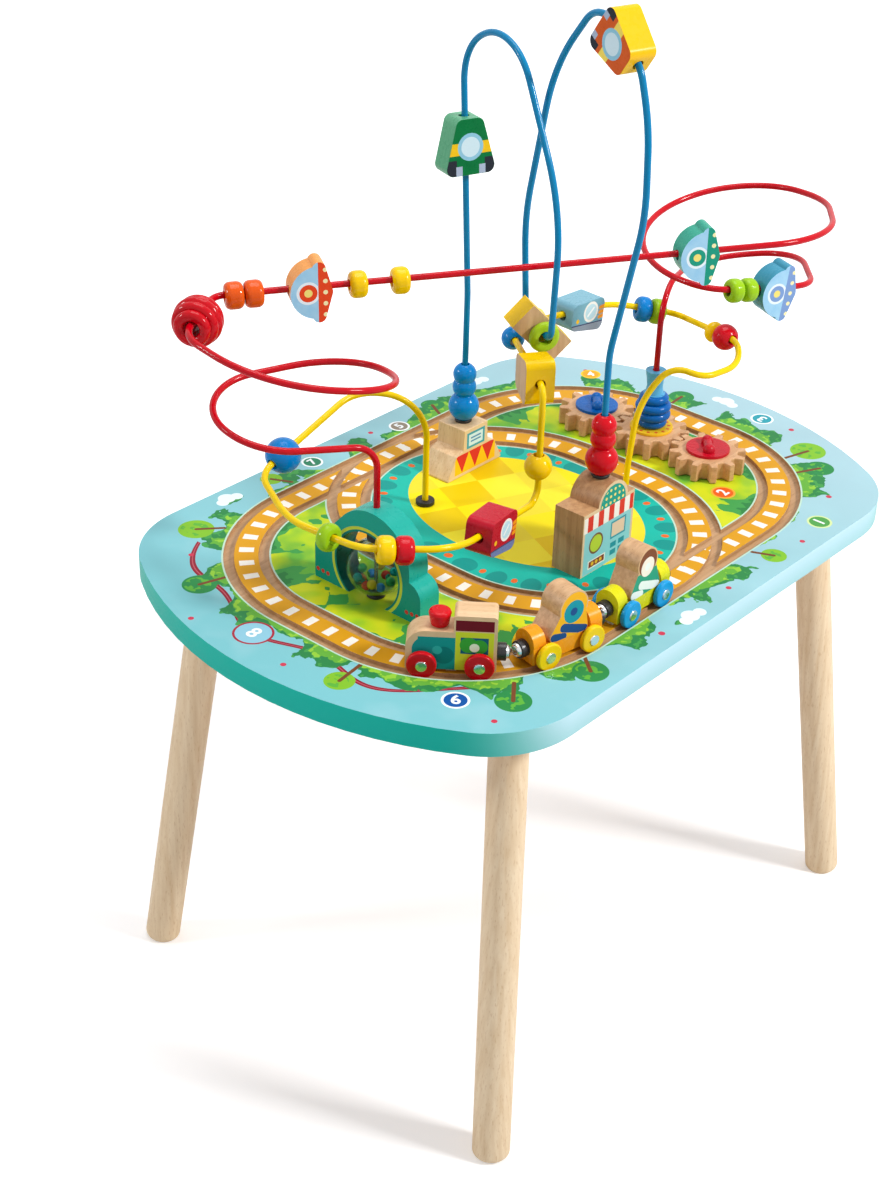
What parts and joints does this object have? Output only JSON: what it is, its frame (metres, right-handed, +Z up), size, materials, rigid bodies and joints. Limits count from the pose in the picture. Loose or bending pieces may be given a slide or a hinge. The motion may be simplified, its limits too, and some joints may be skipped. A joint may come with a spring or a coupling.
{
  "type": "wooden train table",
  "caption": "Low wooden play table on splayed legs with a milled train track, a pull-along train, meshing gears, play blocks and bent wires strung with sliding beads.",
  "frame": {"origin": "on the floor under the middle of the board", "axes": "+X along the board's length, +Y across it, +Z up"},
  "size_m": [0.6004, 0.398, 0.8024],
  "materials": {
    "board_paint": "sprayed matt paint on board",
    "beech": "clear matt lacquer on beech",
    "steel": "plain steel",
    "hill_paint": "satin paint on wood",
    "rubber": "matt black rubber",
    "red_coat": "gloss coat on steel wire",
    "yellow_coat": "gloss coat on steel wire",
    "blue_coat": "gloss coat on steel wire",
    "clear": "clear polished plastic",
    "bead_plastic": "gloss plastic beads",
    "blue_paint": "satin paint on turned or cut wood",
    "orange_paint": "satin paint on turned or cut wood",
    "red_paint": "satin paint on turned or cut wood",
    "yellow_paint": "satin paint on turned or cut wood",
    "lime_paint": "satin paint on turned or cut wood",
    "teal_paint": "satin paint on turned or cut wood",
    "grey_paint": "satin paint on turned or cut wood",
    "green_paint": "satin paint on turned or cut wood",
    "sky_paint": "satin paint on turned or cut wood",
    "magnet_black": "black housing with a bright magnet"
  },
  "bodies": {
    "table": {"tabletop": "board_paint", "leg_front_left": "beech", "leg_front_right": "beech", "leg_back_left": "beech", "leg_back_right": "beech", "fixings": "steel", "hill_block": "hill_paint", "tent_block": "beech", "stall_block": "beech", "rubber_collars": "rubber", "axle_pins": "steel", "high_wire": "red_coat", "low_wire": "yellow_coat", "tall_wire": "blue_coat"},
    "rattle": {"rattle_ball": "clear", "rattle_beads": "bead_plastic"},
    "gear_middle": {"gear_middle": "beech", "cap_yellow": "yellow_paint"},
    "gear_blue": {"gear_blue": "beech", "cap_blue": "blue_paint"},
    "gear_red": {"gear_red": "beech", "cap_red": "red_paint"},
    "bottle": {"bottle": "blue_paint"},
    "blue_skittle": {"blue_skittle": "blue_paint"},
    "red_skittle": {"red_skittle": "red_paint"},
    "engine": {"engine_body": "beech", "engine_chimney": "red_paint", "engine_magnets": "magnet_black"},
    "wagon_one": {"wagon_one_base": "orange_paint", "wagon_one_figure": "beech", "wagon_one_magnets": "magnet_black"},
    "wagon_two": {"wagon_two_base": "yellow_paint", "wagon_two_figure": "beech", "wagon_two_magnets": "magnet_black"},
    "engine_front_wheels": {"engine_front_wheels": "red_paint"},
    "engine_rear_wheels": {"engine_rear_wheels": "red_paint"},
    "wagon_one_front_wheels": {"wagon_one_front_wheels": "yellow_paint"},
    "wagon_one_rear_wheels": {"wagon_one_rear_wheels": "yellow_paint"},
    "wagon_two_front_wheels": {"wagon_two_front_wheels": "sky_paint"},
    "wagon_two_rear_wheels": {"wagon_two_rear_wheels": "sky_paint"},
    "ribbed_bead": {"ribbed_bead": "red_paint"},
    "orange_beads": {"orange_beads": "orange_paint"},
    "orange_plate": {"orange_plate": "orange_paint"},
    "yellow_beads": {"yellow_beads": "yellow_paint"},
    "teal_plate": {"teal_plate": "teal_paint"},
    "lime_beads": {"lime_beads": "lime_paint"},
    "blue_plate": {"blue_plate": "sky_paint"},
    "low_blue_ball": {"low_blue_ball": "blue_paint"},
    "low_lime_ring": {"low_lime_ring": "lime_paint"},
    "low_barrels": {"low_barrels": "yellow_paint"},
    "red_car": {"red_car": "red_paint"},
    "riser_ball": {"riser_ball": "yellow_paint"},
    "riser_block": {"riser_block": "yellow_paint"},
    "small_blue_ball": {"small_blue_ball": "blue_paint"},
    "grey_car": {"grey_car": "grey_paint"},
    "back_barrels": {"back_barrels": "lime_paint"},
    "end_beads": {"end_beads": "red_paint"},
    "green_car": {"green_car": "green_paint"},
    "orange_car": {"orange_car": "orange_paint"},
    "hanging_block": {"hanging_block": "yellow_paint"}
  },
  "joints": [
    {"name": "rattle_spin", "type": "hinge", "parent": "table", "child": "rattle", "pos_m": [-0.169, 0, 0.415], "axis": [0, 0, 1], "continuous": true},
    {"name": "gear_middle_spin", "type": "hinge", "parent": "table", "child": "gear_middle", "pos_m": [0.169, 0, 0.398], "axis": [0, 0, 1], "continuous": true},
    {"name": "gear_blue_spin", "type": "hinge", "parent": "table", "child": "gear_blue", "pos_m": [0.169, 0.0576, 0.398], "axis": [0, 0, 1], "continuous": true},
    {"name": "gear_red_spin", "type": "hinge", "parent": "table", "child": "gear_red", "pos_m": [0.169, -0.0576, 0.398], "axis": [0, 0, 1], "continuous": true},
    {"name": "bottle_lift", "type": "slide", "parent": "table", "child": "bottle", "axis": [0, 0, 1], "range_m": [0, 0.028]},
    {"name": "blue_skittle_lift", "type": "slide", "parent": "table", "child": "blue_skittle", "axis": [0, 0, 1], "range_m": [0, 0.045]},
    {"name": "red_skittle_lift", "type": "slide", "parent": "table", "child": "red_skittle", "axis": [0, 0, 1], "range_m": [0, 0.035]},
    {"name": "engine_run", "type": "hinge", "parent": "table", "child": "engine", "pos_m": [-0.111, -0.029, 0.39], "axis": [0, 0, 1], "range_deg": [-25, 0]},
    {"name": "wagon_one_run", "type": "hinge", "parent": "table", "child": "wagon_one", "pos_m": [-0.111, -0.029, 0.39], "axis": [0, 0, 1], "range_deg": [-26, 0.5]},
    {"name": "wagon_two_run", "type": "slide", "parent": "table", "child": "wagon_two", "axis": [1, 0, 0], "range_m": [-0.052, 0.001]},
    {"name": "engine_front_wheels_roll", "type": "hinge", "parent": "engine", "child": "engine_front_wheels", "pos_m": [-0.21287, -0.08448, 0.3976], "axis": [-0.7826, -0.6225, 0], "range_deg": [-5, 282]},
    {"name": "engine_rear_wheels_roll", "type": "hinge", "parent": "engine", "child": "engine_rear_wheels", "pos_m": [-0.18797, -0.11578, 0.3976], "axis": [-0.7826, -0.6225, 0], "range_deg": [-5, 282]},
    {"name": "wagon_one_front_wheels_roll", "type": "hinge", "parent": "wagon_one", "child": "wagon_one_front_wheels", "pos_m": [-0.15243, -0.13735, 0.3976], "axis": [-0.1908, -0.9816, 0], "range_deg": [-5, 282]},
    {"name": "wagon_one_rear_wheels_roll", "type": "hinge", "parent": "wagon_one", "child": "wagon_one_rear_wheels", "pos_m": [-0.11317, -0.14498, 0.3976], "axis": [-0.1908, -0.9816, 0], "range_deg": [-5, 282]},
    {"name": "wagon_two_front_wheels_roll", "type": "hinge", "parent": "wagon_two", "child": "wagon_two_front_wheels", "pos_m": [-0.071, -0.145, 0.3976], "axis": [0, -1, 0], "range_deg": [-5, 282]},
    {"name": "wagon_two_rear_wheels_roll", "type": "hinge", "parent": "wagon_two", "child": "wagon_two_rear_wheels", "pos_m": [-0.031, -0.145, 0.3976], "axis": [0, -1, 0], "range_deg": [-5, 282]},
    {"name": "ribbed_bead_spin", "type": "hinge", "parent": "table", "child": "ribbed_bead", "pos_m": [-0.22568, 0.11782, 0.58783], "axis": [0.8786, 0.4766, 0.0298], "continuous": true},
    {"name": "orange_beads_slide", "type": "slide", "parent": "table", "child": "orange_beads", "axis": [0.832, -0.5546, 0.0146], "range_m": [-0.002, 0.008]},
    {"name": "orange_plate_slide", "type": "slide", "parent": "table", "child": "orange_plate", "axis": [0.832, -0.5546, 0.0146], "range_m": [-0.008, 0.006]},
    {"name": "yellow_beads_slide", "type": "slide", "parent": "table", "child": "yellow_beads", "axis": [0.832, -0.5546, 0.0146], "range_m": [-0.005, 0.1]},
    {"name": "teal_plate_slide", "type": "slide", "parent": "table", "child": "teal_plate", "axis": [0.832, -0.5546, 0.0146], "range_m": [-0.1, 0.04]},
    {"name": "lime_beads_spin", "type": "hinge", "parent": "table", "child": "lime_beads", "pos_m": [0.16594, -0.07425, 0.55164], "axis": [0.9171, -0.383, -0.1109], "continuous": true},
    {"name": "blue_plate_swing", "type": "hinge", "parent": "table", "child": "blue_plate", "pos_m": [0.19473, -0.08627, 0.54715], "axis": [0.9171, -0.383, -0.1109], "range_deg": [-25, 25]},
    {"name": "low_blue_ball_spin", "type": "hinge", "parent": "table", "child": "low_blue_ball", "pos_m": [-0.16397, 0.09913, 0.46726], "axis": [-0.9681, -0.0792, -0.2376], "continuous": true},
    {"name": "low_lime_ring_slide", "type": "slide", "parent": "table", "child": "low_lime_ring", "axis": [0, -0.9975, 0.0712], "range_m": [-0.015, 0.015]},
    {"name": "low_barrels_slide", "type": "slide", "parent": "table", "child": "low_barrels", "axis": [0.7853, -0.6108, -0.1018], "range_m": [-0.004, 0.006]},
    {"name": "red_car_slide", "type": "slide", "parent": "table", "child": "red_car", "axis": [0.9723, 0.1879, -0.1389], "range_m": [-0.012, 0.038]},
    {"name": "riser_ball_slide", "type": "slide", "parent": "table", "child": "riser_ball", "axis": [0, 0, 1], "range_m": [-0.004, 0.025]},
    {"name": "riser_block_slide", "type": "slide", "parent": "table", "child": "riser_block", "axis": [0.6041, 0.7967, -0.0175], "range_m": [-0.004, 0.008]},
    {"name": "small_blue_ball_spin", "type": "hinge", "parent": "table", "child": "small_blue_ball", "pos_m": [0.01698, 0.03147, 0.52522], "axis": [0.6041, 0.7967, -0.0175], "continuous": true},
    {"name": "grey_car_slide", "type": "slide", "parent": "table", "child": "grey_car", "axis": [0.9914, -0.065, -0.1138], "range_m": [-0.04, 0.01]},
    {"name": "back_barrels_spin", "type": "hinge", "parent": "table", "child": "back_barrels", "pos_m": [0.17704, 0.0171, 0.5035], "axis": [0.7735, -0.5977, -0.2109], "continuous": true},
    {"name": "end_beads_slide", "type": "slide", "parent": "table", "child": "end_beads", "axis": [-0.3077, -0.9468, 0.0947], "range_m": [-0.025, 0.003]},
    {"name": "green_car_slide", "type": "slide", "parent": "table", "child": "green_car", "axis": [0.0063, 0.0677, 0.9977], "range_m": [-0.08, 0.025]},
    {"name": "orange_car_slide", "type": "slide", "parent": "table", "child": "orange_car", "axis": [-0.2197, -0.7836, -0.5811], "range_m": [-0.003, 0.004]},
    {"name": "hanging_block_swing", "type": "hinge", "parent": "table", "child": "hanging_block", "pos_m": [0.00806, 0.00136, 0.54491], "axis": [0.5062, 0.8622, 0.0188], "range_deg": [-8, 8]}
  ],
  "couplings": [
    {"joint": "gear_blue_spin", "follows": "gear_middle_spin", "ratio": -1},
    {"joint": "gear_red_spin", "follows": "gear_middle_spin", "ratio": -1},
    {"joint": "wagon_one_run", "follows": "engine_run", "ratio": 1},
    {"joint": "wagon_two_run", "follows": "engine_run", "m_per_rad": 0.116},
    {"joint": "engine_front_wheels_roll", "follows": "engine_run", "ratio": -11.048},
    {"joint": "engine_rear_wheels_roll", "follows": "engine_run", "ratio": -11.048},
    {"joint": "wagon_one_front_wheels_roll", "follows": "engine_run", "ratio": -11.048},
    {"joint": "wagon_one_rear_wheels_roll", "follows": "engine_run", "ratio": -11.048},
    {"joint": "wagon_two_front_wheels_roll", "follows": "engine_run", "ratio": -11.048},
    {"joint": "wagon_two_rear_wheels_roll", "follows": "engine_run", "ratio": -11.048}
  ]
}
